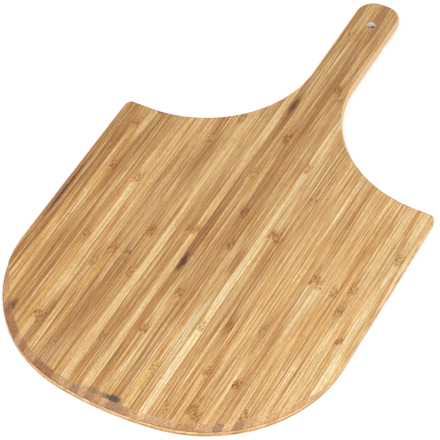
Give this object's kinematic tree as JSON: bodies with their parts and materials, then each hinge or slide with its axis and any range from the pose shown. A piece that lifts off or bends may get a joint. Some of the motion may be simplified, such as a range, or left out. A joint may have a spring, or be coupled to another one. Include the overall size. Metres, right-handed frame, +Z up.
{
  "type": "pizza peel",
  "caption": "Flat paddle of laminated bamboo strips with a bevelled, rounded front, a short rounded grip and a hanging hole, for moving pizzas in and out of an oven.",
  "frame": {"origin": "middle of the peel's length and width, on the lower face it lies on", "axes": "+Y from the rounded front edge to the end of the grip, +X across the blade to the right, +Z up out of the upper face"},
  "size_m": [0.305, 0.533, 0.0075],
  "materials": {
    "face_strips": "satin, oiled bamboo, fine lengthwise fibres",
    "core_strips": "matte, sanded bamboo seen on the rim",
    "underside_strips": "satin, oiled bamboo, fine lengthwise fibres"
  },
  "bodies": {
    "root": {"bottom_strips_grip": "underside_strips", "bottom_strips_left_1": "underside_strips", "bottom_strips_left_2": "underside_strips", "bottom_strips_left_3": "underside_strips", "bottom_strips_left_4": "underside_strips", "bottom_strips_right_1": "underside_strips", "bottom_strips_right_2": "underside_strips", "bottom_strips_right_3": "underside_strips", "bottom_strips_right_4": "underside_strips", "core_strips_blade": "core_strips", "core_strips_front": "core_strips", "core_strips_grip": "core_strips", "core_strips_shoulders": "core_strips", "core_strips_throat": "core_strips", "top_strip_01": "face_strips", "top_strip_02": "face_strips", "top_strip_03": "face_strips", "top_strip_04": "face_strips", "top_strip_05": "face_strips", "top_strip_06": "face_strips", "top_strip_07": "face_strips", "top_strip_08": "face_strips", "top_strip_09": "face_strips", "top_strip_10": "face_strips", "top_strip_11": "face_strips", "top_strip_12": "face_strips", "top_strip_13": "face_strips", "top_strip_14": "face_strips", "top_strip_15": "face_strips", "top_strip_16": "face_strips", "top_strip_17": "face_strips", "top_strip_18": "face_strips", "top_strip_19": "face_strips", "top_strip_20": "face_strips", "top_strip_21": "face_strips", "top_strip_22": "face_strips", "top_strip_23": "face_strips", "top_strip_24": "face_strips", "top_strip_25": "face_strips", "top_strip_26": "face_strips", "top_strip_27": "face_strips", "top_strip_28": "face_strips", "top_strip_29": "face_strips", "top_strip_30": "face_strips", "top_strip_31": "face_strips", "top_strip_32": "face_strips", "top_strip_33": "face_strips", "top_strip_34": "face_strips", "top_strip_35": "face_strips", "top_strip_36": "face_strips", "top_strip_37": "face_strips", "top_strip_38": "face_strips", "top_strip_39": "face_strips", "top_strip_40": "face_strips", "top_strip_41": "face_strips", "top_strip_42": "face_strips", "top_strip_43": "face_strips", "top_strip_44": "face_strips", "top_strip_45": "face_strips", "top_strip_46": "face_strips"}
  },
  "joints": []
}
